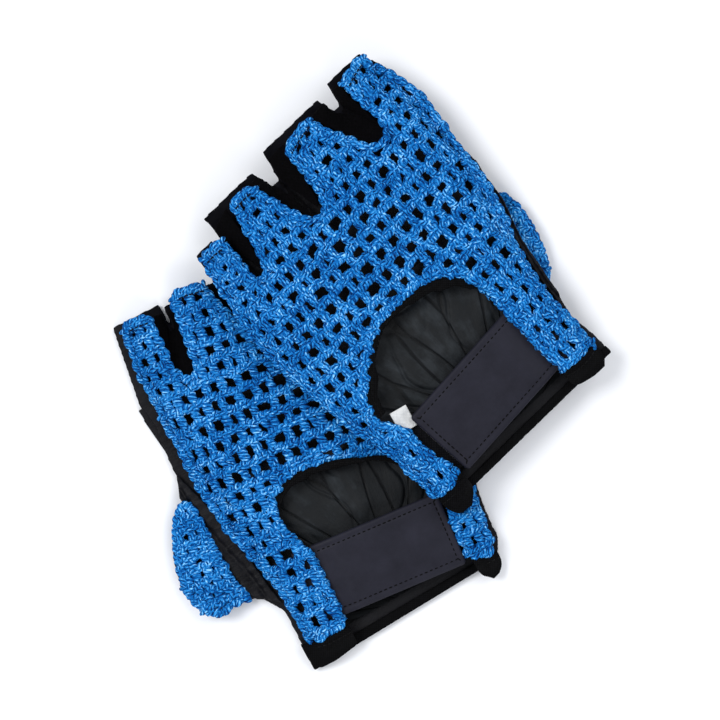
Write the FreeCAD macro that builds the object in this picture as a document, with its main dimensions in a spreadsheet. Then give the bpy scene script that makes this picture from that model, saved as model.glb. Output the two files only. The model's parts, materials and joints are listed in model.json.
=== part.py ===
import FreeCAD, Part
import math
import os

from FreeCAD import Placement, Rotation, Vector

# A pair of fingerless gloves with a crochet back and a leather palm, lying
# back up: the right glove on the surface, the left glove across its edge.
# Each glove is drawn once, with the thumb towards +X and the fingers towards
# +Y, and the right glove is its mirror image.

SIZES = [
    # layers, from the surface up
    ("patch_thick", 1.2, "grip patch and heel pad under the palm"),
    ("leather_thick", 1.5, "palm leather"),
    ("lining_thick", 0.5, "lining on the palm"),
    ("seam_gap", 0.3, "clearance between soft pieces"),
    ("hand_room", 8.0, "height of the hollow over the palm"),
    ("yarn_thick", 3.0, "thickness of the crochet"),
    ("shoulder_width", 14.0, "width over which the back rises at the sides"),
    ("finger_dip", 1.2, "how far a finger's back falls at its edges"),
    ("gore_thick", 1.0, "stretch cloth of the finger gores"),
    ("hem_thick", 2.2, "folded cloth of the hems"),
    ("hem_length", 4.0, "length of the hems past the crochet"),
    ("binding_thick", 1.6, "binding of the back opening"),
    ("binding_width", 3.8, "width of the binding"),
    # hand
    ("thumb_edge", 57.0, "crochet edge on the thumb side at the knuckles"),
    ("little_edge", 59.5, "crochet edge on the little finger side at the knuckles"),
    ("side_margin", 2.5, "leather beyond the crochet on the thumb side"),
    ("wrist_thumb", 44.5, "wrist corner on the thumb side"),
    ("wrist_little", 46.0, "wrist corner on the little finger side"),
    ("wrist_edge", 4.0, "how far the palm runs below the wrist line"),
    ("knuckle_height", 108.0, "knuckle line above the wrist line"),
    # fingers: crochet at the end and at the root, and height of the ends
    ("index_end_inner", 39.0, "index finger end, towards the middle finger"),
    ("index_end_outer", 55.0, "index finger end, outer side"),
    ("index_end", 160.0, "height of the index finger's end"),
    ("middle_end_inner", 6.5, "middle finger end, towards the ring finger"),
    ("middle_end_outer", 20.0, "middle finger end, towards the index finger"),
    ("middle_end", 158.0, "height of the middle finger's end"),
    ("ring_end_inner", -29.0, "ring finger end, towards the little finger"),
    ("ring_end_outer", -16.0, "ring finger end, towards the middle finger"),
    ("ring_end", 155.0, "height of the ring finger's end"),
    ("little_end_inner", -52.5, "little finger end, outer side"),
    ("little_end_outer", -42.0, "little finger end, towards the ring finger"),
    ("little_end", 146.0, "height of the little finger's end"),
    ("index_gap", 35.5, "middle of the gap between index and middle finger"),
    ("middle_gap", -4.5, "middle of the gap between middle and ring finger"),
    ("ring_gap", -38.5, "middle of the gap between ring and little finger"),
    ("index_gap_width", 11.0, "crochet to crochet at the foot of the index gap"),
    ("middle_gap_width", 9.0, "the same at the middle gap"),
    ("ring_gap_width", 7.0, "the same at the ring gap"),
    ("gap_foot", 128.0, "height of the foot of the index gap"),
    ("gap_fall", 3.5, "how much lower each gap is than the one before"),
    ("leather_past", 4.0, "leather beyond the crochet at the finger ends"),
    ("leather_gap", 3.0, "leather to leather between the fingers"),
    ("leather_foot", 16.0, "leather notch's foot above the crochet gap's foot"),
    # back opening and the two legs beside it
    ("leg_thumb_inner", 22.5, "inner edge of the thumb side leg"),
    ("leg_little_inner", 42.0, "inner edge of the little finger side leg, at its top"),
    ("leg_little_end", 36.0, "the same at the leg's lower end"),
    ("leg_end", 8.0, "lower end of the legs"),
    ("crown_height", 74.0, "top of the half moon opening"),
    ("moon_foot", 50.0, "where the half moon opens into the wrist slot"),
    # strap
    ("strap_length", 52.4, "free strap from its bend to its end"),
    ("strap_width", 31.0, "width of the strap"),
    ("strap_thick", 1.6, "strap tab"),
    ("strap_height", 28.0, "middle of the strap above the wrist line, at its bend"),
    ("strap_corner", 3.0, "rounding of the strap's corners"),
    ("strap_bend", 4.6, "bend line inside the thumb side leg's edge"),
    ("strap_turn", 4.0, "degrees that the strap slopes down to its free end"),
    ("root_length", 17.0, "band that carries the strap, sewn under the leg"),
    ("root_lap", 3.0, "band under the strap, inside the bend"),
    ("root_drop", 0.95, "band's top under the strap, room for the bend"),
    ("backing_thick", 0.5, "cloth under the strap tab"),
    ("hook_thick", 0.6, "hook tape"),
    ("hook_length", 30.0, "hook tape along the strap"),
    ("tape_margin", 3.0, "tape inside the strap's edge"),
    ("pile_thick", 0.8, "loop tape"),
    ("tongue_thick", 1.2, "tongue that carries the loop tape"),
    ("tongue_length", 40.0, "length of the tongue"),
    ("tongue_width", 27.0, "width of the tongue"),
    ("label_length", 8.0, "care label along the opening"),
    ("label_width", 6.0, "care label across"),
    ("label_thick", 0.5, "care label"),
    # thumb
    ("thumb_top", 89.0, "top of the thumb seam"),
    ("thumb_foot", 34.0, "lower end of the thumb"),
    ("thumb_seam", 54.5, "thumb seam from the middle of the hand"),
    ("thumb_width", 23.0, "width of the thumb across its back"),
    ("thumb_room", 6.0, "height of the hollow in the thumb"),
    ("thumb_yarn", 2.6, "crochet of the thumb"),
    ("thumb_tuck", 28.0, "degrees that the left thumb is turned in"),
    # how the pair lies
    ("glove_turn", 8.5, "degrees that each glove is turned"),
    ("pair_across", 90.7, "left glove's wrist from the right glove's, across"),
    ("pair_along", 32.5, "the same, along"),
]

doc = FreeCAD.newDocument("gloves")
sheet = doc.addObject("Spreadsheet::Sheet", "Sizes")
for row, (alias, value, meaning) in enumerate(SIZES, start=1):
    sheet.set("A%d" % row, alias)
    sheet.set("B%d" % row, str(value))
    sheet.setAlias("B%d" % row, alias)
    sheet.set("C%d" % row, meaning)
doc.recompute()


class Sheet:
    """Reads a size by its name."""

    def __getattr__(self, alias):
        return float(sheet.get(alias))


size = Sheet()


# ---- heights of the layers ----------------------------------------------
def leather_top():
    return size.patch_thick + size.leather_thick


def back_edge():
    """Underside of the crochet where it is sewn to the palm."""
    return leather_top() + size.seam_gap


def back_crown():
    """Underside of the crochet over the middle of the hand."""
    return leather_top() + size.hand_room + size.seam_gap


def glove_height():
    return back_crown() + size.yarn_thick


def thumb_height():
    return size.leather_thick + size.seam_gap + size.thumb_room + size.thumb_yarn


# ---- the hand's outline -------------------------------------------------
FINGERS = ("little", "ring", "middle", "index")
GAPS = ("ring", "middle", "index")


def finger(name):
    """Inner and outer edge of a finger's crochet at its end, and its height."""
    return (getattr(size, name + "_end_inner"), getattr(size, name + "_end_outer"),
            getattr(size, name + "_end"))


def gap(name):
    """Left and right edge of a gap's foot and its height."""
    middle = getattr(size, name + "_gap")
    half = getattr(size, name + "_gap_width") / 2
    lower = size.gap_fall * (len(GAPS) - 1 - GAPS.index(name))
    return middle - half, middle + half, size.gap_foot - lower


def thumb_side():
    """Crochet edge from the leg's end up to the index finger's root."""
    edge, top = size.thumb_edge, size.thumb_top
    waist = size.thumb_seam - 6.0
    return [(size.wrist_thumb - 3.0, size.leg_end), (size.wrist_thumb - 1.5, size.strap_height),
            (waist - 2.0, (top + size.strap_height) / 2 - 8.0), (waist + 2.0, top - 12.0),
            (edge - 2.0, top + 8.0), (edge, size.knuckle_height + 6.0),
            (edge + 2.0, size.gap_foot + 6.0)]


def little_side():
    """Crochet edge from the little finger's root down to the leg's end."""
    edge = -size.little_edge
    knuckle = size.knuckle_height
    return [(edge + 3.5, knuckle + 20.0), (edge, knuckle), (edge + 0.5, knuckle - 24.0),
            (edge + 3.5, size.moon_foot + 7.0), (edge + 7.0, size.strap_height + 9.0),
            (edge + 9.0, size.leg_end)]


def thumb_inner(inset=0.0):
    """The thumb's edge along its seam, from its lower end up, drawn in by an inset."""
    top, foot, seam = size.thumb_top, size.thumb_foot, size.thumb_seam - inset
    tall = top - foot
    return [(seam - 3.0, foot), (seam, foot + 0.2 * tall), (seam + 1.0, foot + 0.5 * tall),
            (seam + 4.0, foot + 0.8 * tall), (seam + 5.0, top - 2.0)]


def side_edges(height):
    """The crochet's outer edges at a height: little finger side, thumb side."""
    def at(points):
        points = sorted((y, x) for x, y in points)
        if height <= points[0][0]:
            return points[0][1]
        for (y0, x0), (y1, x1) in zip(points, points[1:]):
            if height <= y1:
                return x0 + (x1 - x0) * (height - y0) / (y1 - y0)
        return points[-1][1]
    little_tip, index_tip = finger("little"), finger("index")
    return (at(little_side() + [(little_tip[0], little_tip[2])]),
            at(thumb_side() + [(index_tip[1], index_tip[2])]))


def finger_fall(x, y):
    """How far a finger's back has fallen at a place, from its middle line."""
    start = size.gap_foot - 12.0
    if y <= start:
        return 0.0
    fade = min(1.0, (y - start) / 16.0)
    centres = [(sum(finger(name)[:2]) / 2) for name in FINGERS]
    near = min(abs(x - centre) for centre in centres)
    half = size.index_end_outer - size.index_end_inner
    return size.finger_dip * fade * min(1.0, (near / half) ** 2 * 2)


def back_height(x, y):
    """Underside of the crochet: an arch that comes down at the two sides."""
    low, high = side_edges(y)
    inside = max(0.0, min(x - low, high - x))
    share = min(1.0, inside / size.shoulder_width)
    rise = (back_crown() - back_edge()) * (1 - (1 - share) ** 2)
    return back_edge() + max(0.0, rise - finger_fall(x, y))


# ---- tools for shapes ---------------------------------------------------
def run_edges(runs, flip):
    """Edges of a closed outline: two points make a line, more make a curve."""
    edges = []
    for run in runs:
        points = [Vector(flip * x, y, 0) for x, y in run]
        if len(points) == 2:
            edges.append(Part.LineSegment(*points))
        else:
            curve = Part.BSplineCurve()
            curve.interpolate(points)
            edges.append(curve)
    return edges


def prism(runs, flip, low, high):
    wire = Part.Wire([edge.toShape() for edge in run_edges(runs, flip)])
    face = Part.Face(wire)
    face.translate(Vector(0, 0, low))
    return face.extrude(Vector(0, 0, high - low))


def slab(height, flip, box, thick, step=4.0):
    """A sheet of even thickness over a height field."""
    x0, y0, x1, y1 = box
    columns = max(4, int((x1 - x0) / step))
    rows = max(4, int((y1 - y0) / step))
    grid = []
    for i in range(columns + 1):
        x = x0 + (x1 - x0) * i / columns
        grid.append([Vector(flip * x, y0 + (y1 - y0) * j / rows,
                            height(x, y0 + (y1 - y0) * j / rows)) for j in range(rows + 1)])
    surface = Part.BSplineSurface()
    surface.interpolate(grid)
    return surface.toShape().extrude(Vector(0, 0, thick))


def one_solid(shape):
    """The only solid of a shape, or the largest with its crumbs left out."""
    return max(shape.Solids, key=lambda solid: solid.Volume)


def polygon(points):
    return Part.makePolygon(points + points[:1])


# ---- the document's objects ---------------------------------------------
nodes = {}


def keep(name, item, place):
    item.Label = name
    item.Placement = place
    nodes[name] = item
    return item


def feature(name, shape, place):
    """A piece whose free form no sketch or primitive gives."""
    item = doc.addObject("Part::Feature", name)
    item.Shape = shape
    return keep(name, item, place)


def origin_plane(body, role):
    return next(item for item in body.Origin.OriginFeatures if item.Role == role)


def new_sketch(body, name):
    sketch = body.newObject("Sketcher::SketchObject", name)
    sketch.AttachmentSupport = [(origin_plane(body, "XY_Plane"), "")]
    sketch.MapMode = "FlatFace"
    return sketch


def pad(body, sketch, thick):
    item = body.newObject("PartDesign::Pad", body.Name + "_pad")
    item.Profile = sketch
    item.setExpression("Length", "Sizes." + thick)
    sketch.Visibility = False
    return item


def plate(name, runs, flip, thick, height, place):
    """A flat cut piece: a sketched outline padded to its thickness."""
    body = doc.addObject("PartDesign::Body", name)
    sketch = new_sketch(body, name + "_outline")
    sketch.addGeometry(run_edges(runs, flip), False)
    pad(body, sketch, thick)
    return keep(name, body, place * Placement(Vector(0, 0, height), Rotation()))


def tape(name, length, width, thick, place, corner=None, trim="0"):
    """A rectangular piece, centred across, that runs from its place towards -X."""
    import Sketcher
    body = doc.addObject("PartDesign::Body", name)
    sketch = new_sketch(body, name + "_outline")
    corners = [Vector(0, -5, 0), Vector(0, 5, 0), Vector(-10, 5, 0), Vector(-10, -5, 0)]
    for start, end in zip(corners, corners[1:] + corners[:1]):
        sketch.addGeometry(Part.LineSegment(start, end), False)
    for line in range(4):
        sketch.addConstraint(Sketcher.Constraint("Coincident", line, 2, (line + 1) % 4, 1))
    for line in (0, 2):
        sketch.addConstraint(Sketcher.Constraint("Vertical", line))
    for line in (1, 3):
        sketch.addConstraint(Sketcher.Constraint("Horizontal", line))
    sketch.addConstraint(Sketcher.Constraint("Symmetric", 0, 1, 0, 2, -1, 1))
    across = sketch.addConstraint(Sketcher.Constraint("DistanceY", 0, 1, 0, 2, 10))
    along = sketch.addConstraint(Sketcher.Constraint("DistanceX", 1, 2, 1, 1, 10))
    sketch.setExpression("Constraints[%d]" % across, "Sizes.%s - 2 * %s" % (width, trim))
    sketch.setExpression("Constraints[%d]" % along, "Sizes." + length)
    solid = pad(body, sketch, thick)
    if corner:
        doc.recompute()
        upright = ["Edge%d" % (i + 1) for i, edge in enumerate(solid.Shape.Edges)
                   if abs(edge.Vertexes[0].Z - edge.Vertexes[-1].Z) > 0.01
                   and edge.Vertexes[0].X < -1]
        rounding = body.newObject("PartDesign::Fillet", name + "_corners")
        rounding.Base = (solid, upright)
        rounding.setExpression("Radius", "Sizes." + corner)
    return keep(name, body, place)


# ---- outlines -----------------------------------------------------------
def round_end(inner, outer, height, corner=4.0):
    """A finger's end with two rounded corners, from outer to inner side."""
    return [(outer, height - corner), (outer - corner * 0.3, height - corner * 0.3),
            (outer - corner, height), (inner + corner, height),
            (inner + corner * 0.3, height - corner * 0.3), (inner, height - corner)]


def back_outline():
    """Crochet back with its four fingers, before the opening is cut."""
    runs = [thumb_side()]
    for name in reversed(FINGERS):
        inner, outer, height = finger(name)
        end = round_end(inner, outer, height)
        runs.append([runs[-1][-1], end[0]])
        runs += [end[0:3], end[2:4], end[3:6]]
        if name == FINGERS[0]:
            break
        left, right, foot = gap(GAPS[FINGERS.index(name) - 1])
        middle = (left + right) / 2
        runs.append([end[5], (right, foot + 4.0)])
        runs.append([(right, foot + 4.0), (right - 1.2, foot + 1.0), (middle, foot),
                     (left + 1.2, foot + 1.0), (left, foot + 4.0)])
    side = little_side()
    runs.append([runs[-1][-1], side[0]])
    runs.append(side)
    runs.append([side[-1], thumb_side()[0]])
    return runs


def moon(inset):
    """The half moon and the wrist slot under it, drawn smaller by an inset."""
    right, left = size.leg_thumb_inner - inset, -size.leg_little_inner + inset
    top, foot = size.crown_height - inset, size.moon_foot
    low = -20.0
    rise = top - foot
    slant = (size.leg_little_inner - size.leg_little_end) * (foot - low) / (foot - size.leg_end)
    return [[(right, low), (right, foot)],
            [(right, foot), (right - 1.5, foot + 0.55 * rise), (right - 11.0, foot + 0.9 * rise),
             (right - 24.0, top), (right - 38.0, foot + 0.9 * rise), (left + 9.0, foot + 0.45 * rise),
             (left, foot)],
            [(left, foot), (left + slant, low)],
            [(left + slant, low), (right, low)]]


def palm_fingers():
    """Leather notches and finger ends, from the index to the little finger."""
    past = size.leather_past
    half = size.leather_gap / 2
    runs = []
    last = None
    for name in reversed(FINGERS):
        inner, outer, height = finger(name)
        centre = FINGERS.index(name)
        if centre < len(GAPS):
            left, right, foot = gap(GAPS[centre])
            start = ((left + right) / 2 - half - 3.0, height + past)
        else:
            start = (outer, height + past)
        if last:
            runs.append([last, start])
        if centre > 0:
            left, right, foot = gap(GAPS[centre - 1])
            corner = ((left + right) / 2 + half - 3.0, height + past)
            notch = ((left + right) / 2 - 3.0, foot + size.leather_foot)
        else:
            corner, notch = (inner, height + past), None
        runs.append([start, corner])
        if notch:
            runs.append([corner, notch])
        last = notch
    return runs


def palm_outline():
    margin = size.side_margin
    edge, top = size.thumb_edge + margin, size.thumb_top
    thumb = thumb_inner(1.5 * size.seam_gap)
    heel = (size.wrist_thumb, size.leg_end + 16.0)
    index = [(edge - 0.5, top + 3.0), (edge, top + 9.0), (edge - 1.0, size.knuckle_height + 4.0),
             (edge + 0.5, size.gap_foot)]
    fingers = palm_fingers()
    side = little_side()
    wrist = -size.wrist_edge
    return ([[(size.wrist_thumb, wrist), heel], [heel, thumb[0]], thumb, [thumb[-1], index[0]],
             index, [index[-1], fingers[0][0]]]
            + fingers + [[fingers[-1][-1], side[0]], side,
                         [side[-1], (-size.wrist_little, wrist)],
                         [(-size.wrist_little, wrist), (size.wrist_thumb, wrist)]])


def band_outline(low, high, inset, thumb_inset):
    """A patch across the palm between two heights."""
    left_low, right_low = side_edges(low)
    left_high, right_high = side_edges(high)
    corners = [(left_low + inset, low), (right_low - thumb_inset, low),
               (right_high - thumb_inset, high), (left_high + inset, high)]
    return [list(line) for line in zip(corners, corners[1:] + corners[:1])]


# ---- pieces of one glove ------------------------------------------------
def back_crochet(side, flip, place):
    tall = glove_height() + 5.0
    box = (-size.little_edge - 4, -2, size.thumb_edge + size.side_margin + 6, size.index_end + 4)
    sheet_solid = slab(back_height, flip, box, size.yarn_thick)
    outline = prism(back_outline(), flip, 0, tall)
    opening = prism(moon(0), flip, -1, tall + 1)
    feature(side + "_back_crochet", one_solid(sheet_solid.common(outline).cut(opening)), place)


def opening_binding(side, flip, place):
    tall = glove_height() + 5.0
    box = (-size.leg_little_inner - 4, size.moon_foot - 6, size.leg_thumb_inner + 4,
           size.crown_height + 4)
    raised = (size.yarn_thick - size.binding_thick) / 2
    skin = slab(lambda x, y: back_height(x, y) + raised, flip, box, size.binding_thick)
    band = prism(moon(0), flip, 0, tall).cut(prism(moon(size.binding_width), flip, -1, tall + 1))
    low = size.strap_height + size.strap_width / 2 + 5.0
    window = Part.makeBox(300, 100, tall, Vector(-150, low, 0))
    feature(side + "_opening_binding", one_solid(skin.common(band).common(window)), place)


def leg_hem(side, flip, place, name, inner, outer):
    """Folded cloth round the end of a leg, with rounded corners."""
    low, high = size.leg_end - size.hem_length, size.leg_end - size.seam_gap
    left, right = min(inner, outer), max(inner, outer)
    tall = glove_height() + 5.0
    corner = size.hem_length * 0.4
    runs = [[(left, high), (left, low + corner)],
            [(left, low + corner), (left + corner * 0.3, low + corner * 0.3), (left + corner, low)],
            [(left + corner, low), (right - corner, low)],
            [(right - corner, low), (right - corner * 0.3, low + corner * 0.3),
             (right, low + corner)],
            [(right, low + corner), (right, high)],
            [(right, high), (left, high)]]
    raised = (size.yarn_thick - size.hem_thick) / 2
    skin = slab(lambda x, y: back_height(x, y) + raised, flip,
                (left - 4, low - 4, right + 4, high + 4), size.hem_thick)
    feature(side + name, one_solid(skin.common(prism(runs, flip, 0, tall))), place)


def finger_gore(side, flip, place, name):
    """Stretch cloth between two fingers: it falls from crochet to leather."""
    left, right, foot = gap(name)
    lower, upper = FINGERS[GAPS.index(name)], FINGERS[GAPS.index(name) + 1]
    left_end, right_end = finger(lower), finger(upper)
    middle = (left + right) / 2
    half = size.leather_gap / 2
    drop, top = leather_top() + size.seam_gap, back_crown() - size.finger_dip - size.seam_gap
    notch = foot + size.leather_foot
    thick = size.gore_thick
    clear = thick + size.seam_gap
    # each station: upper edge, lower edge, and the way towards the gap
    stations = [
        ((left_end[1] + clear, left_end[2]), (middle - half - 3.0, left_end[2]), (1, 0)),
        (((left_end[1] + left) / 2 + clear, (left_end[2] + foot) / 2),
         (middle - half - 3.2, notch), (1, 0)),
        ((left + clear, foot + 5.0), (middle - 4.0, notch - 3.5), (0.8, 0.6)),
        ((middle, foot + clear + 0.6), (middle - 2.5, notch - 5.5), (0, 1)),
        ((right - clear, foot + 5.0), (middle - 1.0, notch - 3.5), (-0.8, 0.6)),
        (((right_end[0] + right) / 2 - clear, (right_end[2] + foot) / 2),
         (middle + half - 2.8, notch), (-1, 0)),
        ((right_end[0] - clear, right_end[2]), (middle + half - 3.0, right_end[2]), (-1, 0)),
    ]
    wires = []
    for high, low, (wx, wy) in stations:
        corners = [Vector(flip * high[0], high[1], top),
                   Vector(flip * low[0], low[1], drop),
                   Vector(flip * (low[0] - wx * thick), low[1] - wy * thick, drop),
                   Vector(flip * (high[0] - wx * thick), high[1] - wy * thick, top)]
        wires.append(polygon(corners))
    feature(side + "_%s_gore" % name, Part.makeLoft(wires, True, True), place)


def strap_seat(flip, place, height):
    """The strap's bend, just inside the thumb side leg; the strap runs to -X."""
    bend = size.leg_thumb_inner - size.strap_bend
    turn = size.strap_turn if flip > 0 else 180 - size.strap_turn
    return place * Placement(Vector(flip * bend, size.strap_height, height),
                             Rotation(Vector(0, 0, 1), turn))


def along(distance, height=0.0):
    return Placement(Vector(-distance, 0, height), Rotation())


def backing_low():
    return (tongue_low() + size.tongue_thick + size.pile_thick + size.seam_gap
            + size.hook_thick)


def strap(side, flip, place):
    seat = strap_seat(flip, place, backing_low())
    tape(side + "_strap_tab", "strap_length", "strap_width", "strap_thick",
         seat * along(0, size.backing_thick), corner="strap_corner")
    tape(side + "_strap_backing", "strap_length", "strap_width", "backing_thick", seat,
         corner="strap_corner")
    far = size.strap_length - size.hook_length - size.tape_margin
    tape(side + "_hook_tape", "hook_length", "strap_width", "hook_thick",
         seat * along(far, -size.hook_thick), trim="Sizes.tape_margin")
    pile_low = -size.hook_thick - size.seam_gap - size.pile_thick
    tape(side + "_loop_tongue", "tongue_length", "tongue_width", "tongue_thick",
         seat * along(far, pile_low - size.tongue_thick))
    tape(side + "_loop_tape", "hook_length", "tongue_width", "pile_thick",
         seat * along(far + size.tape_margin, pile_low), trim="Sizes.tape_margin")
    strap_root(side, flip, seat)


def strap_root(side, flip, seat):
    """Band under the leg: its inner end laps the strap, its outer end climbs to the leg."""
    reach = size.root_length - size.root_lap
    end = size.leg_thumb_inner - size.strap_bend + reach
    seam = back_height(end, size.strap_height - size.strap_width / 2) - size.seam_gap
    rise = seam - (backing_low() - size.root_drop)
    climb = Rotation(Vector(0, 1, 0), -math.degrees(math.atan2(rise, reach)))
    low = -size.root_drop - size.strap_thick
    tape(side + "_strap_root", "root_length", "strap_width", "strap_thick",
         seat * along(0, low) * Placement(Vector(), climb) * along(-reach))


def tongue_low():
    """Underside of the tongue: the strap above it stays just under the back."""
    stack = (size.tongue_thick + size.pile_thick + size.seam_gap + size.hook_thick
             + size.backing_thick + size.strap_thick)
    return back_crown() - stack + 0.5


def thumb_runs():
    """Thumb crochet seen on its back, and its crown line."""
    top, foot, seam, wide = size.thumb_top, size.thumb_foot, size.thumb_seam, size.thumb_width
    tall = top - foot
    inner = thumb_inner()
    outer = [inner[-1], (seam + 13.0, foot + 0.85 * tall), (seam + wide - 1.0, foot + 0.57 * tall),
             (seam + wide + 1.0, foot + 0.3 * tall), (seam + wide - 4.0, foot + 0.07 * tall)]
    return [inner, outer, [outer[-1], inner[0]]]


def thumb_back(x, y):
    """Underside of the thumb's crochet, an arch across the thumb."""
    middle = size.thumb_seam + size.thumb_width / 2
    share = min(1.0, abs(x - middle) / (size.thumb_width / 2 + 2.0))
    low = size.leather_thick + size.seam_gap
    slope = min(1.0, max(0.0, (size.thumb_top - y) / 26.0))
    return low + size.thumb_room * (1 - share ** 2) * (0.25 + 0.75 * slope)


def tucked_thumb(flip):
    """A thumb folded under the palm, turned in about the top of its seam."""
    crotch = Vector(flip * size.thumb_seam, size.thumb_top, 0)
    return Placement(Vector(0, 0, -thumb_height() - size.seam_gap),
                     Rotation(Vector(0, 0, 1), -flip * size.thumb_tuck), crotch)


def thumb(side, flip, place, tucked):
    seat = place * tucked_thumb(flip) if tucked else place
    plate(side + "_thumb_leather", thumb_runs(), flip, "leather_thick", 0.0, seat)
    box = (size.thumb_seam - 6, size.thumb_foot - 4, size.thumb_seam + size.thumb_width + 4,
           size.thumb_top + 4)
    skin = slab(thumb_back, flip, box, size.thumb_yarn, step=3.0)
    shape = skin.common(prism(thumb_runs(), flip, 0, glove_height()))
    feature(side + "_thumb_crochet", one_solid(shape), seat)


def thumb_gusset(side, flip, place):
    """Strip of leather that joins the thumb to the hand."""
    hand = [(x + size.seam_gap * 2, y) for x, y in thumb_side()[1:5]]
    seam = thumb_inner(1.5 * size.seam_gap)
    runs = [hand, [hand[-1], seam[-1]], seam[::-1], [seam[0], hand[0]]]
    plate(side + "_thumb_gusset", runs, flip, "gore_thick", leather_top() + size.seam_gap, place)


def palm(side, flip, place):
    plate(side + "_palm_leather", palm_outline(), flip, "leather_thick", size.patch_thick, place)
    grip = band_outline(size.thumb_top + 7.0, size.gap_foot, 0.5, -size.side_margin - 0.8)
    plate(side + "_grip_patch", grip, flip, "patch_thick", 0.0, place)
    heel = band_outline(size.leg_end + 5.0, size.crown_height - 4.0, 6.0, 6.0)
    plate(side + "_heel_pad", heel, flip, "patch_thick", 0.0, place)
    lining = [[(-size.wrist_little + 4, 6.0), (size.wrist_thumb - 5, 6.0)],
              [(size.wrist_thumb - 5, 6.0), (size.thumb_seam - 12.0, size.crown_height + 10)],
              [(size.thumb_seam - 12.0, size.crown_height + 10),
               (-size.little_edge + 6, size.crown_height + 10)],
              [(-size.little_edge + 6, size.crown_height + 10), (-size.wrist_little + 4, 6.0)]]
    plate(side + "_palm_lining", lining, flip, "lining_thick", leather_top(), place)
    wrist = -size.wrist_edge
    hem = [[(-size.wrist_little, wrist), (size.wrist_thumb, wrist)],
           [(size.wrist_thumb, wrist), (size.wrist_thumb, wrist + 5.0)],
           [(size.wrist_thumb, wrist + 5.0), (-size.wrist_little, wrist + 5.0)],
           [(-size.wrist_little, wrist + 5.0), (-size.wrist_little, wrist)]]
    plate(side + "_wrist_hem", hem, flip, "gore_thick", leather_top(), place)


def care_label(side, flip, place):
    seat = Placement(Vector(flip * (-size.leg_little_inner + 8.0), size.moon_foot - 2.0,
                            back_crown() - size.label_thick),
                     Rotation(Vector(0, 0, 1), 50 * flip))
    tape(side + "_care_label", "label_length", "label_width", "label_thick", place * seat)


def glove(side, flip, place, tucked):
    palm(side, flip, place)
    back_crochet(side, flip, place)
    for name in GAPS:
        finger_gore(side, flip, place, name)
    opening_binding(side, flip, place)
    leg_hem(side, flip, place, "_thumb_leg_hem", size.leg_thumb_inner,
            side_edges(size.leg_end)[1])
    leg_hem(side, flip, place, "_little_leg_hem", -size.leg_little_end,
            side_edges(size.leg_end)[0])
    strap(side, flip, place)
    thumb(side, flip, place, tucked)
    thumb_gusset(side, flip, place)


def left_place():
    """The left glove leans from the right glove's back down to its own thumb."""
    turn = math.radians(size.glove_turn)
    across = Vector(math.cos(turn), -math.sin(turn), 0)
    along_right = Vector(math.sin(turn), math.cos(turn), 0)
    shoulder = size.little_edge - size.shoulder_width
    top = glove_height() + size.seam_gap
    flat = Placement(Vector(size.pair_across, size.pair_along, top),
                     Rotation(Vector(0, 0, 1), size.glove_turn))
    thumb_seat = flat * tucked_thumb(1)
    reach = max(thumb_seat.multVec(Vector(x, y, 0)).dot(across)
                for run in thumb_runs() for x, y in run)
    fall = top - thumb_height() - size.seam_gap
    lean = Rotation(along_right, math.degrees(math.asin(fall / (reach - shoulder))))
    return Placement(Vector(), lean, across * shoulder + Vector(0, 0, top)) * flat


glove("right", -1, Placement(Vector(), Rotation(Vector(0, 0, 1), -size.glove_turn)), False)
glove("left", 1, left_place(), True)
care_label("left", 1, left_place())
doc.recompute()


def check():
    for item in doc.Objects:
        if "Invalid" in item.State or "Error" in item.State:
            raise RuntimeError("failed: " + item.Name)
    for name, item in nodes.items():
        if item.Shape.isNull() or not item.Shape.isValid() or item.Shape.Volume <= 0:
            raise RuntimeError("bad shape: " + name)


def centre():
    """Puts the middle of the pair's footprint at the origin."""
    box = FreeCAD.BoundBox()
    for item in nodes.values():
        box.add(item.Shape.optimalBoundingBox(True, False))
    shift = Placement(Vector(-box.Center.x, -box.Center.y, -box.ZMin), Rotation())
    for item in nodes.values():
        item.Placement = shift * item.Placement
    doc.recompute()
    return shift.Base, box


check()
shift, box = centre()
check()
os.makedirs("parts", exist_ok=True)
for name, item in nodes.items():
    item.Shape.exportStep("parts/%s.step" % name)
print("%d sub-parts, %.1f x %.1f x %.1f mm" % (len(nodes), box.XLength, box.YLength, box.ZLength))
print("moved by", [round(value, 3) for value in shift])
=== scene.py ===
import json
import math
import random

import bmesh
import bpy
from mathutils import Matrix, Vector, noise
from mathutils.bvhtree import BVHTree
from mathutils.geometry import intersect_line_line_2d

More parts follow.
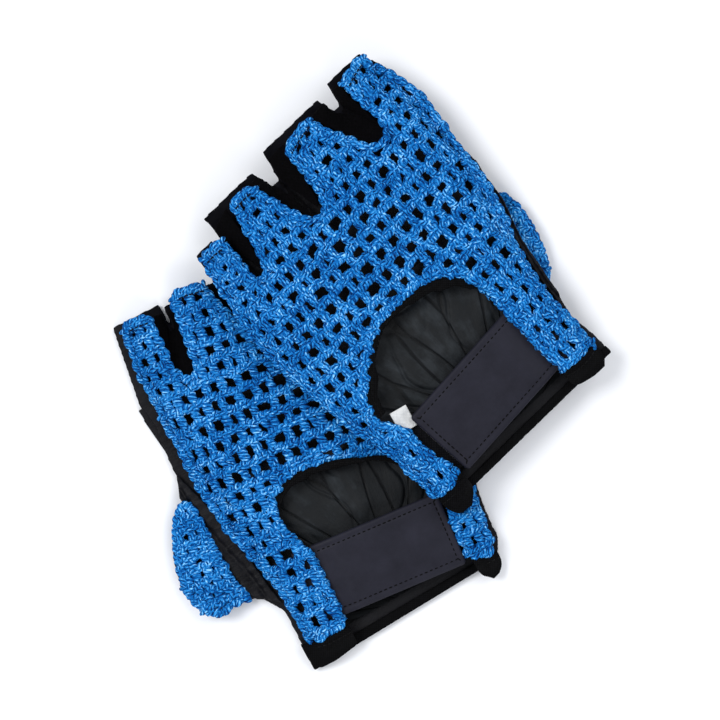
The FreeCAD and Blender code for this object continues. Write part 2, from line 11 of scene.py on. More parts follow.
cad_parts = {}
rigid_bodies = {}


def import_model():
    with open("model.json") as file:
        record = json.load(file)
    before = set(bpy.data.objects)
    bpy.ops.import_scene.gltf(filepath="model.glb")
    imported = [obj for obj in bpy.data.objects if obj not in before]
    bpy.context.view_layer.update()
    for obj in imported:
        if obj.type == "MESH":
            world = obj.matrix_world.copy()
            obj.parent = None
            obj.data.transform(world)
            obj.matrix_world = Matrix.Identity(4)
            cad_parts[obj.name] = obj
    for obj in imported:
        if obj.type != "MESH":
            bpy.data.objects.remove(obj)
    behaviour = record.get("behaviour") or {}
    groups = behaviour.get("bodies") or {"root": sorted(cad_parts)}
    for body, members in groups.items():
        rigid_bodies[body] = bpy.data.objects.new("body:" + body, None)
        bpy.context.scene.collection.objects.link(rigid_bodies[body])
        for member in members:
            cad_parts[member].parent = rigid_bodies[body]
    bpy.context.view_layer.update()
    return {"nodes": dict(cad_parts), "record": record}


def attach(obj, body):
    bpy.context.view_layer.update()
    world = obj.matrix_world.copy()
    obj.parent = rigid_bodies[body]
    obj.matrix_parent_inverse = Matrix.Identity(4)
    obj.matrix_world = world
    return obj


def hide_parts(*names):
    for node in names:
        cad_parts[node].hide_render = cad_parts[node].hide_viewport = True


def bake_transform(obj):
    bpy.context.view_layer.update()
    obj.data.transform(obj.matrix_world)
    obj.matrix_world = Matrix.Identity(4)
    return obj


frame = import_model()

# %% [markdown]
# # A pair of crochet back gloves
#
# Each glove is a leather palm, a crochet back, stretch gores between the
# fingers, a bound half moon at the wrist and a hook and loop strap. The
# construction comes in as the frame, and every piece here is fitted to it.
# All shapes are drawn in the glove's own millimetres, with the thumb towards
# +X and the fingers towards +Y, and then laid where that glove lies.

MM = 0.001
WELD = 0.02 * MM
JOINTS = {joint["name"]: joint for joint in frame["record"]["behaviour"]["joints"]}
STRAP_BEND = Vector((17.9, 28.0, 9.4))
SEAM_FOOT = Vector((51.5, 34.0, 0.0))
SEAM_TOP = Vector((54.5, 89.0, 0.0))


def glove_matrix(side):
    """Takes the glove's own millimetres to metres in the frame."""
    flip = -1 if side == "right" else 1
    bend = Vector(JOINTS[side + "_strap_peel"]["pos_m"])
    other = JOINTS["right_thumb_fold" if side == "right" else "left_thumb_swing"]
    up = Vector((0, 0, 1)) if side == "right" else Vector(other["axis"]).normalized()
    mark = (SEAM_FOOT if side == "right" else SEAM_TOP) - STRAP_BEND
    mark = Vector((mark.x * flip, mark.y, 0))
    seen = Vector(other["pos_m"]) - bend
    seen -= up * seen.dot(up)
    right = Vector((1, 0, 0)) - up * up.x
    right.normalize()
    ahead = up.cross(right)
    turn = math.atan2(seen.dot(ahead), seen.dot(right)) - math.atan2(mark.y, mark.x)
    across = right * math.cos(turn) + ahead * math.sin(turn)
    along = up.cross(across)
    rotate = Matrix((across, along, up)).transposed()
    local = Vector((STRAP_BEND.x * flip, STRAP_BEND.y, STRAP_BEND.z)) * MM
    mirror = Matrix.Diagonal((flip * MM, MM, MM, 1))
    return Matrix.Translation(bend - rotate @ local) @ rotate.to_4x4() @ mirror


PLACE = {side: glove_matrix(side) for side in ("left", "right")}
BACK = {side: PLACE[side].inverted() for side in PLACE}
for side in PLACE:
    print(side, "glove's wrist lies at", [round(c, 4) for c in PLACE[side].translation])

# %% Small steps that every piece needs


def link_new(name, data):
    """Puts new data in the scene as an object."""
    piece = bpy.data.objects.new(name, data)
    bpy.context.collection.objects.link(piece)
    return piece


def shown_mesh(working):
    """The mesh that a working object shows; the object itself is removed."""
    graph = bpy.context.evaluated_depsgraph_get()
    mesh = bpy.data.meshes.new_from_object(working.evaluated_get(graph))
    bpy.data.objects.remove(working)
    return mesh


def open_mesh(mesh, weld=None):
    """A bmesh of a mesh, with points that meet made one."""
    bm = bmesh.new()
    bm.from_mesh(mesh)
    if weld:
        bmesh.ops.remove_doubles(bm, verts=bm.verts, dist=weld)
    return bm


def closed_mesh(bm, name):
    """The mesh that a bmesh has become."""
    mesh = bpy.data.meshes.new(name)
    bm.to_mesh(mesh)
    bm.free()
    return mesh


def plate_mesh(bm, thick, matrix, name):
    """Gives a sheet its thickness and lays it in its place."""
    bmesh.ops.solidify(bm, geom=bm.faces[:], thickness=thick)
    bmesh.ops.recalc_face_normals(bm, faces=bm.faces)
    bmesh.ops.transform(bm, matrix=matrix, verts=bm.verts)
    return closed_mesh(bm, name)

# %% [markdown]
# ## The camera
#
# The gloves are seen from straight above, so the camera looks down the Z
# axis. It is turned so that the wrists point to the lower right.

# %% Camera, floor and light
VIEW_WIDTH = 0.300
VIEW_TURN = math.radians(-35.5)


def look_down():
    data = bpy.data.cameras.new("camera")
    data.lens = 100
    camera = link_new("camera", data)
    height = VIEW_WIDTH * data.lens / data.sensor_width
    # middle of the view, measured from the middle of the right glove's wrist
    wrist = PLACE["right"].translation
    across = Vector((math.cos(VIEW_TURN), math.sin(VIEW_TURN), 0))
    up = Vector((-math.sin(VIEW_TURN), math.cos(VIEW_TURN), 0))
    middle = wrist - across * 0.01875 + up * 0.1075
    camera.location = (middle.x, middle.y, height + 0.014)
    camera.rotation_euler = (0, 0, VIEW_TURN)
    data.clip_start, data.clip_end = 0.05, 20
    bpy.context.scene.camera = camera


look_down()


def node_material(name):
    material = bpy.data.materials.new(name)
    material.use_nodes = True
    tree = material.node_tree
    tree.nodes.clear()
    output = tree.nodes.new("ShaderNodeOutputMaterial")
    return material, tree, output


def floor_material():
    """A plain pale floor that takes soft shadows."""
    material, tree, output = node_material("pale_floor")
    surface = tree.nodes.new("ShaderNodeBsdfPrincipled")
    surface.inputs["Base Color"].default_value = (0.86, 0.87, 0.89, 1)
    surface.inputs["Roughness"].default_value = 0.9
    tree.links.new(surface.outputs[0], output.inputs[0])
    return material


def make_floor():
    bm = bmesh.new()
    bmesh.ops.create_grid(bm, x_segments=1, y_segments=1, size=3)
    bmesh.ops.translate(bm, verts=bm.verts, vec=(0, 0, -0.0002))
    floor = link_new("floor", closed_mesh(bm, "floor"))
    floor.data.materials.append(floor_material())


def lamp(name, location, size, power):
    data = bpy.data.lights.new(name, "AREA")
    data.shape = "DISK"
    data.size = size
    data.energy = power
    light = link_new(name, data)
    light.location = location
    light.rotation_euler = (-Vector(location)).to_track_quat("-Z", "Y").to_euler()


def make_light():
    lamp("key", (-0.5, 0.7, 1.3), 0.7, 14)
    lamp("fill", (0.9, 0.1, 1.2), 1.0, 7)
    lamp("low", (-0.3, -1.0, 0.9), 0.8, 5)
    world = bpy.data.worlds.new("studio")
    world.use_nodes = True
    world.node_tree.nodes["Background"].inputs[0].default_value = (0.9, 0.93, 1, 1)
    world.node_tree.nodes["Background"].inputs[1].default_value = 0.55
    bpy.context.scene.world = world


make_floor()
make_light()
bpy.context.scene.view_settings.view_transform = "Standard"

# %% [markdown]
# ## Finishes
#
# Every finish is made of nodes. Patterns that follow a thread or a strip read
# its own UV map, and the others read Object coordinates, which are the same
# metres as the frame.

# %% Helpers for the finishes


class Nodes:
    """Short names for adding and joining shader nodes."""

    def __init__(self, name):
        self.material, self.tree, self.output = node_material(name)
        self.surface = self.add("ShaderNodeBsdfPrincipled")
        self.link(self.surface.outputs[0], self.output.inputs[0])

    def add(self, kind, **values):
        node = self.tree.nodes.new(kind)
        for key, value in values.items():
            if key in node.inputs:
                node.inputs[key].default_value = value
            else:
                setattr(node, key, value)
        return node

    def link(self, start, end):
        self.tree.links.new(start, end)

    def shader(self, **values):
        for key, value in values.items():
            self.surface.inputs[key.replace("_", " ")].default_value = value

    def places(self, kind, scale=(1, 1, 1), turn=(0, 0, 0)):
        source = self.add("ShaderNodeTexCoord")
        mapping = self.add("ShaderNodeMapping")
        mapping.inputs["Scale"].default_value = scale
        mapping.inputs["Rotation"].default_value = turn
        self.link(source.outputs[kind], mapping.inputs["Vector"])
        return mapping.outputs[0]

    def noise(self, vector, scale, detail=3.0, rough=0.55):
        node = self.add("ShaderNodeTexNoise", Scale=scale, Detail=detail, Roughness=rough)
        self.link(vector, node.inputs["Vector"])
        return node.outputs["Fac"]

    def math(self, operation, first, second=None):
        node = self.add("ShaderNodeMath", operation=operation)
        for socket, value in zip(node.inputs, (first, second)):
            if value is None:
                continue
            if isinstance(value, (int, float)):
                socket.default_value = value
            else:
                self.link(value, socket)
        return node.outputs[0]

    def total(self, *parts):
        """The sum of sockets, each times its share."""
        last = None
        for socket, share in parts:
            part = self.math("MULTIPLY", socket, share)
            last = self.math("ADD", last, part) if last else part
        return last

    def eased(self, socket, share, least):
        """A socket times a share, above a least value."""
        return self.math("ADD", self.math("MULTIPLY", socket, share), least)

    def ramp(self, factor, *stops):
        node = self.add("ShaderNodeValToRGB")
        ramp = node.color_ramp
        while len(ramp.elements) < len(stops):
            ramp.elements.new(0.5)
        for element, (position, colour) in zip(ramp.elements, stops):
            element.position = position
            element.color = (*colour, 1)
        self.link(factor, node.inputs[0])
        return node.outputs[0]

    def colour(self, socket):
        self.link(socket, self.surface.inputs["Base Color"])

    def roughness(self, factor, low, high):
        node = self.add("ShaderNodeMapRange")
        node.inputs["To Min"].default_value = low
        node.inputs["To Max"].default_value = high
        self.link(factor, node.inputs["Value"])
        self.link(node.outputs[0], self.surface.inputs["Roughness"])

    def bump(self, *layers):
        """Layers of (height, distance in metres, strength), laid on each other."""
        last = None
        for height, distance, strength in layers:
            node = self.add("ShaderNodeBump", Distance=distance, Strength=strength)
            self.link(height, node.inputs["Height"])
            if last:
                self.link(last, node.inputs["Normal"])
            last = node.outputs[0]
        self.link(last, self.surface.inputs["Normal"])


# %% The yarn's finish
PLIES = 3
PLY_LEAD = 6.4
YARN_ROUND = 7.0


def yarn_material():
    """Soft melange cotton: three plies wind round the strand, with paler fibres along them; the
    fibre flecks are also painted highlights, and the ply grooves carry painted shade.
    """
    nodes = Nodes("melange_yarn_painted_light")
    thread = nodes.add("ShaderNodeTexCoord")
    split = nodes.add("ShaderNodeSeparateXYZ")
    nodes.link(thread.outputs["UV"], split.inputs[0])
    run, round_it = split.outputs[0], split.outputs[1]
    across = nodes.total((run, PLIES / PLY_LEAD), (round_it, PLIES))
    along = nodes.total((run, 0.69), (round_it, -0.73 * YARN_ROUND))
    ridge = nodes.math("ABSOLUTE", nodes.math("SINE", nodes.math("MULTIPLY", across, math.pi)))
    fibre_place = nodes.add("ShaderNodeCombineXYZ")
    nodes.link(nodes.math("MULTIPLY", across, 2.9), fibre_place.inputs[0])
    nodes.link(nodes.math("MULTIPLY", along, 0.46), fibre_place.inputs[1])
    fibre_and_highlight = nodes.noise(fibre_place.outputs[0], 1.0, 2.0, 0.6)
    place = nodes.places("Object")
    cloud = nodes.noise(place, 120.0, 2.0)
    fuzz = nodes.noise(place, 4200.0, 2.0)
    # Painted shade and highlight: the ridge term paints the grooves between plies dark and their
    # crowns light. The fibre flecks add painted highlights along the plies. The darkest ramp stop is
    # the painted groove shade and the palest is the painted highlight.
    tone = nodes.total((ridge, 0.3), (fibre_and_highlight, 1.15), (nodes.math("SUBTRACT", cloud, 0.62), 0.4))
    nodes.colour(nodes.ramp(tone, (0.44, (0.0, 0.008, 0.06)), (0.60, (0.0, 0.062, 0.27)),
                            (0.75, (0.002, 0.15, 0.48)), (0.90, (0.04, 0.33, 0.77)),
                            (1.0, (0.30, 0.66, 0.98))))
    nodes.shader(Roughness=0.9, Specular_IOR_Level=0.12)
    nodes.bump((ridge, 0.00035, 0.9), (fibre_and_highlight, 0.0002, 0.6), (fuzz, 0.0001, 0.4))
    return nodes.material


# %% Leather, cloth and strap face


def leather_material(name, dark, light, grain=650.0, gloss=(0.42, 0.62), fold=0.55):
    """Soft leather: pebbled grain, fine creases and a paler bloom on them."""
    nodes = Nodes(name)
    place = nodes.places("Object")
    cells = nodes.add("ShaderNodeTexVoronoi", Scale=grain, feature="DISTANCE_TO_EDGE")
    nodes.link(place, cells.inputs["Vector"])
    pebble = nodes.math("MINIMUM", cells.outputs["Distance"], 0.25)
    crease = nodes.noise(nodes.places("Object", (1, 2.2, 1), (0, 0, 0.6)), 90.0, 6.0, 0.65)
    bloom = nodes.noise(place, 38.0, 4.0)
    tone = nodes.total((crease, 0.6), (bloom, 0.4))
    nodes.colour(nodes.ramp(tone, (0.35, dark), (0.72, light)))
    nodes.roughness(bloom, *gloss)
    matt = nodes.add("ShaderNodeAttribute", attribute_name="dull").outputs["Fac"]
    nodes.link(nodes.eased(matt, -0.11, 0.13), nodes.surface.inputs["Specular IOR Level"])
    nodes.bump((pebble, 0.0003, 0.35), (crease, 0.0012, fold))
    return nodes.material


def lining_material():
    """Brushed inside of the palm. Its UV map runs round and out from the middle of
    the wrist, so that the creases and the worn streaks fan out as the palm folds."""
    nodes = Nodes("dark_lining")
    place = nodes.places("Object")
    streak = nodes.noise(nodes.places("UV", (2.4, 0.5, 1)), 1.0, 6.0, 0.62)
    crack = nodes.add("ShaderNodeTexVoronoi", Scale=1.0, feature="DISTANCE_TO_EDGE")
    nodes.link(nodes.places("UV", (1.3, 0.22, 1)), crack.inputs["Vector"])
    line = nodes.math("MINIMUM", nodes.math("MULTIPLY", crack.outputs["Distance"], 16.0), 1.0)
    wear = nodes.noise(place, 45.0, 5.0, 0.6)
    nap = nodes.noise(place, 1500.0, 2.0)
    tone = nodes.total((streak, 0.55), (wear, 0.7))
    tone = nodes.math("MULTIPLY", tone, nodes.eased(line, 0.35, 0.65))
    # Painted shade: towards the middle of the wrist, beside the strap, the lining's colour is
    # darkened and its specular lowered.
    parts = nodes.add("ShaderNodeSeparateXYZ")
    nodes.link(nodes.places("UV"), parts.inputs[0])
    near = nodes.math("MULTIPLY", nodes.math("SUBTRACT", parts.outputs["Y"], 2.2), 0.5)
    near = nodes.math("MINIMUM", nodes.math("MAXIMUM", near, 0.3), 1.0)
    tone = nodes.math("MULTIPLY", tone, nodes.eased(near, 0.5, 0.5))
    nodes.colour(nodes.ramp(tone, (0.36, (0.0012, 0.0016, 0.002)), (0.62, (0.005, 0.0065, 0.008)),
                            (0.88, (0.030, 0.036, 0.042))))
    nodes.roughness(streak, 0.5, 0.8)
    nodes.link(nodes.math("MULTIPLY", near, 0.2), nodes.surface.inputs["Specular IOR Level"])
    nodes.bump((line, 0.0008, 0.7), (streak, 0.0012, 0.55), (wear, 0.002, 0.5),
               (nap, 0.00008, 0.3))
    return nodes.material


def cloth_material(name, dark, light, pitch=0.0009, sheen=0.02, rough=0.85, gloss=0.08):
    """Close knit or woven cloth: two crossing waves at the thread's pitch."""
    nodes = Nodes(name)
    place = nodes.places("Object")
    waves = []
    for turn in (0.6, 0.6 + math.pi / 2):
        turned = nodes.places("Object", turn=(0, 0, turn))
        wave = nodes.add("ShaderNodeTexWave", Scale=0.314 / pitch, Distortion=1.2, Detail=1.0)
        nodes.link(turned, wave.inputs["Vector"])
        waves.append(wave.outputs["Fac"])
    weave = nodes.math("MULTIPLY", *waves)
    lint = nodes.noise(place, 700.0, 3.0)
    tone = nodes.total((weave, 0.5), (lint, 0.5))
    nodes.colour(nodes.ramp(tone, (0.2, dark), (0.75, light)))
    nodes.shader(Roughness=rough, Sheen_Weight=sheen, Specular_IOR_Level=gloss)
    nodes.bump((weave, 0.0002, 0.5), (lint, 0.0002, 0.3))
    return nodes.material


def strap_material():
    """Soft coated strap face: charcoal, nearly smooth, with a fine matt grain."""
    nodes = Nodes("strap_face")
    place = nodes.places("Object")
    grain = nodes.noise(place, 2600.0, 2.0)
    scuff = nodes.noise(place, 60.0, 5.0, 0.7)
    nodes.colour(nodes.ramp(scuff, (0.3, (0.008, 0.008, 0.014)), (0.75, (0.016, 0.016, 0.026))))
    nodes.roughness(scuff, 0.45, 0.62)
    nodes.shader(Specular_IOR_Level=0.14)
    nodes.bump((grain, 0.00008, 0.5), (scuff, 0.0003, 0.3))
    return nodes.material


YARN = yarn_material()
LEATHER = leather_material("black_leather", (0.001, 0.001, 0.002), (0.007, 0.007, 0.009))
LINING = lining_material()
STRETCH = cloth_material("stretch_cloth", (0.001, 0.001, 0.001), (0.0035, 0.003, 0.004), 0.0006,
                         0.0, 0.9, 0.03)
HEM = cloth_material("hem_cloth", (0.001, 0.001, 0.001), (0.005, 0.005, 0.006), 0.0008, 0.0, 0.85,
                     0.05)
FACE = strap_material()
WEBBING = cloth_material("strap_cloth", (0.002, 0.002, 0.003), (0.010, 0.010, 0.012), 0.0010)
HOOK = cloth_material("hook_tape", (0.002, 0.002, 0.002), (0.03, 0.03, 0.03), 0.0012, 0.05, 0.5)
LOOP = cloth_material("loop_tape", (0.002, 0.002, 0.002), (0.01, 0.01, 0.01), 0.0007, 0.2, 0.95)
THREAD = cloth_material("sewing_thread", (0.001, 0.001, 0.001), (0.006, 0.006, 0.007), 0.0005)
RIBBON = cloth_material("label_ribbon", (0.55, 0.56, 0.56), (0.80, 0.80, 0.79), 0.0006)
print("finishes:", ", ".join(material.name for material in bpy.data.materials))

# %% [markdown]
# ## Making a soft piece from its flat solid
#
# Leather, cloth and hems are thin pieces with soft edges. Each starts as a
# copy of its solid, which is already the right cut in the right place. A
# voxel remesh gives it an even skin with rounded edges, and the points are
# then moved a little to lay it in folds.

# %% Soft copies of the solids


def new_object(name, mesh, material, body, *nodes, slot="hem_cloth"):
    """Puts a mesh in the scene on its body, in place of the nodes it stands for."""
    piece = link_new(name, mesh)
    mesh.materials.clear()
    mesh.materials.append(material)
    mesh.shade_smooth()
    if body:
        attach(piece, body)
    if nodes:
        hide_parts(*nodes)
    return piece


def soft_copy(node, voxel, rounds=2):
    """The node's mesh with an even skin of quads and rounded edges."""
    bm = open_mesh(frame["nodes"][node].data, WELD)
    working = link_new(node + "_work", closed_mesh(bm, node + "_skin"))
    remesh = working.modifiers.new("even", "REMESH")
    remesh.mode = "VOXEL"
    remesh.voxel_size = voxel * MM
    smooth = working.modifiers.new("soft", "SMOOTH")
    smooth.iterations = rounds
    smooth.factor = 0.5
    return shown_mesh(working)


def bend_mesh(mesh, side, lift):
    """Moves each point along the glove's own axes by lift(x, y, z), in millimetres."""
    into, back = PLACE[side], BACK[side]
    for vertex in mesh.vertices:
        local = back @ vertex.co
        vertex.co = into @ (local + Vector(lift(*local)))
    mesh.update()


def soft_piece(name, node, material, body, voxel, lift=None, rounds=2):
    side = node.split("_")[0]
    mesh = soft_copy(node, voxel, rounds)
    if lift:
        bend_mesh(mesh, side, lift)
    piece = new_object(name, mesh, material, body, node)
    print(name, len(mesh.polygons), "faces")
    return piece


def ripple(x, y, scale, seed):
    return noise.noise(Vector((x * scale, y * scale, seed)))


# %% [markdown]
# ## Leather, lining, gores and hems
#
# The palm is one cut of leather. Its lining shows through the half moon and
# is creased in a fan that starts below the strap, because the palm folds
# there with the hand.

# %% How the leather lies
WRIST_IN = {"left": (5.2, 0.0), "right": (3.6, -0.075)}
BLUE_EDGE = [(41.5, 8), (41.5, 40.5), (46.4, 61), (54.5, 79), (57, 97), (60, 120)]


def ease(share):
    share = min(1.0, max(0.0, share))
    return share * share * (3 - 2 * share)


def along_curve(points, y):
    """x of a side's edge at a height."""
    points = sorted((py, px) for px, py in points)
    if y <= points[0][0]:
        return points[0][1]
    for (y0, x0), (y1, x1) in zip(points, points[1:]):
        if y <= y1:
            return x0 + (x1 - x0) * (y - y0) / (y1 - y0)
    return points[-1][1]


def drawn_in(side, x, y):
    """How the leather is drawn in at the wrist, and on the left beside the thumb."""
    middle, slope = WRIST_IN[side]
    up = (middle + slope * x) * max(0.0, (20 - y) / 24)
    over = x - along_curve(BLUE_EDGE, y)
    if side == "right" or x < 30:
        return 0.0, up
    bulge = 2.4 * ease((x - 45) / 10) * ease((y - 112) / 14) * ease((166 - y) / 14)
    squeeze = max(0.0, over) * 0.6 * ease((y - 4) / 26) * ease((100 - y) / 14)
    return bulge - squeeze, up


GAP_MIDDLE = {"ring": (-41.7, 149.5), "middle": (-7.5, 158.0), "index": (32.5, 160.0)}
# where each slit starts and how far each of its sides is moved at the mouth
GAP_OPEN = {"left": {"ring": (138, 0.5), "middle": (142, 3.1), "index": (148, 1.9)},
            "right": {"ring": (134, -1.1), "middle": (141, -1.1), "index": (145, -1.0)}}


SPREAD = 13.0


def parted(side, x, y, way=0):
    """The finger ends of the leather spread a little, so that the slits open."""
    push = 0.0
    for gap, (middle, mouth) in GAP_MIDDLE.items():
        off = x - middle
        if abs(off) < SPREAD:
            start, wide = GAP_OPEN[side][gap]
            share = min(1.2, max(0.0, (y - start) / (mouth - start)))
            push += wide * math.copysign(share, way or off) * (1 - abs(off) / SPREAD)
    return push


def palm_lift(side, x, y):
    """Slow waves shared by all the palm's layers, so that they stay apart."""
    wave = 0.35 * ripple(x, y, 0.05, 3.0) + 0.15 * ripple(x, y, 0.14, 7.0)
    over, up = drawn_in(side, x, y)
    return over + parted(side, x, y), up, wave


def palm_move(side):
    def lift(x, y, z):
        over, up, wave = palm_lift(side, x, y)
        return over, up, max(0.0, wave)
    return lift


# %% The lining's fan of creases


def lining_move(side):
    """A fan of creases that runs out from the middle of the wrist."""
    def lift(x, y, z):
        over, up, wave = palm_lift(side, x, y)
        spread = math.atan2(x + 8.0, y - 2.0)
        reach = min(1.0, max(0.0, (y - 34.0) / 10.0))
        fan = math.sin(spread * 7.0 + 3.5 * ripple(x, y, 0.045, 1.0))
        fine = math.sin(spread * 11.0 + 3.0 * ripple(x, y, 0.05, 6.0))
        fine = -math.exp(-(fine / 0.22) ** 2) * (0.5 + ripple(x, y, 0.06, 9.0))
        high = 1.4 + reach * (0.6 * fan + 1.1 * fine + 0.9 * ripple(x, y, 0.11, 5.0))
        return over, up, wave + high
    return lift


def fan_map(mesh, side):
    """U runs round the middle of the wrist and V out from it, in centimetres."""
    layer = mesh.uv_layers.new(name="fan")
    for loop in mesh.loops:
        x, y, z = BACK[side] @ mesh.vertices[loop.vertex_index].co
        spread = math.atan2(x + 8.0, y - 2.0)
        layer.data[loop.index].uv = (spread * 4.0, math.hypot(x + 8.0, y - 2.0) / 10.0)


def flat_area(node, thick):
    """The area of a flat solid's cut, from its volume and its thickness in millimetres."""
    bm = open_mesh(frame["nodes"][node].data, WELD)
    area = abs(bm.calc_volume()) / (thick * MM)
    bm.free()
    print(node, "cut", round(area * 1e4, 1), "square cm")
    return area


# %% Heel pad and gusset


def heel_move(side):
    """The pad is fullest in its middle, and sewn down along two channels."""
    def lift(x, y, z):
        over, up, wave = palm_lift(side, x, y)
        edge = min(x + 51.4, 43.4 - x, y - 13.0, 70.0 - y)
        sewn = max(math.exp(-((y - 32 - 0.004 * x * x) / 1.1) ** 2),
                   math.exp(-((y - 51 - 0.004 * x * x) / 1.1) ** 2))
        flat = 0.7 * math.exp(-edge / 3.2) + 0.6 * sewn
        return over, up, flat if z < 0.6 else 0.0
    return lift


def gusset_move(side):
    """Loose leather between hand and thumb: a long crease with wrinkles across it."""
    def lift(x, y, z):
        over, up, wave = palm_lift(side, x, y)
        middle = along_curve([(48, 28), (50, 45), (53, 62), (56, 80), (58, 97)], y)
        crease = -1.0 * math.exp(-((x - middle) / 0.7) ** 2)
        across = 1.0 * ripple(x * 0.6, y * 2.2, 0.16, 2.0) + 0.5 * ripple(x, y, 0.5, 8.0)
        if side == "right":
            over += 3.0 * ease((x - 48) / 7)
        return over, up, 1.5 + crease + across
    return lift


# %% The hems of the legs
HEMS = {
    ("left", "thumb"): [(22, 10.6, 2.6), (26, 9.4, 0.8), (32, 9.0, -0.6), (38, 9.4, -0.9),
                        (42, 10.6, 3.0)],
    ("left", "little"): [(-51, 7.6, 1.5), (-48, 7.6, -2.8), (-42, 7.6, -3.8), (-36, 8.0, 1.2)],
    ("right", "thumb"): [(22, 7.6, -1.6), (27, 7.4, -2.4), (34, 7.2, -3.7), (39, 8.0, -4.0),
                         (42, 9.4, -2.0)],
    ("right", "little"): [(-51, 6.4, 1.2), (-47, 6.8, -2.2), (-42, 7.6, -3.2), (-36, 9.4, 0.6)],
}


def leg_hem_move(side, leg):
    """The bound end of a leg: it is wrapped down to the wrist and rounded at its corners."""
    rows = HEMS[side, leg]
    top, foot = [(t, x) for x, t, f in rows], [(f, x) for x, t, f in rows]
    shift = 3.4 if (side, leg) == ("right", "little") else 0.0

    def lift(x, y, z):
        share = (7.7 - y) / 3.7
        high, low = along_curve(top, x), along_curve(foot, x)
        out = 3.2 * ease((x - 36) / 6) if (side, leg) == ("right", "thumb") else 0.0
        soft = 0.35 * ripple(x, y * 3, 0.25, 4.0)
        drop = (z - 3.2) * 0.62 * ease(share) ** 1.5
        return out + shift * ease((-x - 36) / 14), high + (low - high) * share - y, soft - drop
    return lift


# %% The binding of the half moon
MOON = {
    "solid": [(22.5, 8), (22.5, 50), (21, 63.2), (11.5, 71.6), (-1.5, 74), (-15.5, 71.6),
              (-33, 60.8), (-42, 50), (-36, 8)],
    "left": [(22.5, 8), (22.5, 52), (21.5, 61), (17.5, 69.5), (9, 74.8), (-4, 77.6),
             (-18, 76.2), (-33, 67.2), (-42.5, 58), (-45.5, 48), (-39.5, 38), (-39, 20), (-35, 8)],
    "right": [(22.3, 8), (22.3, 41), (26, 49), (28, 58), (26.5, 67.5), (20, 72.8), (10, 74.4),
              (-3, 72), (-15.5, 67), (-33, 58), (-42, 49), (-35.5, 30), (-33.5, 8)],
}
MOON_MIDDLE = Vector((-8.0, 44.0))


def moon_reach(name, way):
    """How far the opening's edge lies from its middle in a direction."""
    corners = [Vector(corner) for corner in MOON[name]]
    for first, second in zip(corners, corners[1:] + corners[:1]):
        hit = intersect_line_line_2d(MOON_MIDDLE, MOON_MIDDLE + way * 90, first, second)
        if hit:
            return (hit - MOON_MIDDLE).length
    return 0.0


def binding_move(side):
    """The binding follows the soft edge; on the thumb side leg the crochet laps over it."""
    def lift(x, y, z):
        way = (Vector((x, y)) - MOON_MIDDLE).normalized()
        grow = moon_reach(side, way) - moon_reach("solid", way)
        tuck = ease((x - 12) / 8) * ease((74 - y) / 8)
        return way.x * grow + 2.6 * tuck, way.y * grow + 0.8 * tuck, -1.7 * tuck
    return lift


# %% Webs and slits between the fingers


def web_move(gap):
    """Each web slopes down and in, from the crochet's edge to the leather's."""
    middle, mouth = GAP_MIDDLE[gap]

    def lift(x, y, z):
        share = min(1.0, max(0.0, (9.5 - z) / 6.0))
        soft = 0.7 * ripple(x + z, y, 0.12, 4.0)
        return (middle - x) * 0.3 * share + soft, (mouth - y) * 0.6 * share, soft
    return lift


def slit(mesh, side, gap):
    """Cuts a web along its middle and spreads its halves with the leather."""
    middle, mouth = GAP_MIDDLE[gap]
    into, back = PLACE[side], BACK[side]
    across = (into.to_3x3() @ Vector((1, 0, 0))).normalized()
    both = bmesh.new()
    for way in (-1, 1):
        half = open_mesh(mesh)
        cut = bmesh.ops.bisect_plane(half, geom=half.verts[:] + half.edges[:] + half.faces[:],
                                     plane_co=into @ Vector((middle, 0, 0)),
                                     plane_no=across * way, clear_inner=True, dist=1e-7)
        edges = [item for item in cut["geom_cut"] if isinstance(item, bmesh.types.BMEdge)]
        ends = bmesh.ops.holes_fill(half, edges=edges)["faces"]
        bmesh.ops.triangulate(half, faces=ends)
        for vertex in half.verts:
            local = back @ vertex.co
            vertex.co = into @ (local + Vector((parted(side, local.x, local.y, way), 0, 0)))
        part = closed_mesh(half, "half")
        both.from_mesh(part)
        bpy.data.meshes.remove(part)
    both.to_mesh(mesh)
    both.free()


def dull_ends(mesh, side):
    """Marks the leather at the finger ends, which is matt and dark there."""
    mark = mesh.attributes.new("dull", "FLOAT", "POINT")
    for vertex in mesh.vertices:
        x, y, z = BACK[side] @ vertex.co
        inner = 1.0 if side == "left" else ease((46 - x) / 4)
        mark.data[vertex.index].value = ease((y - 136) / 10) * inner


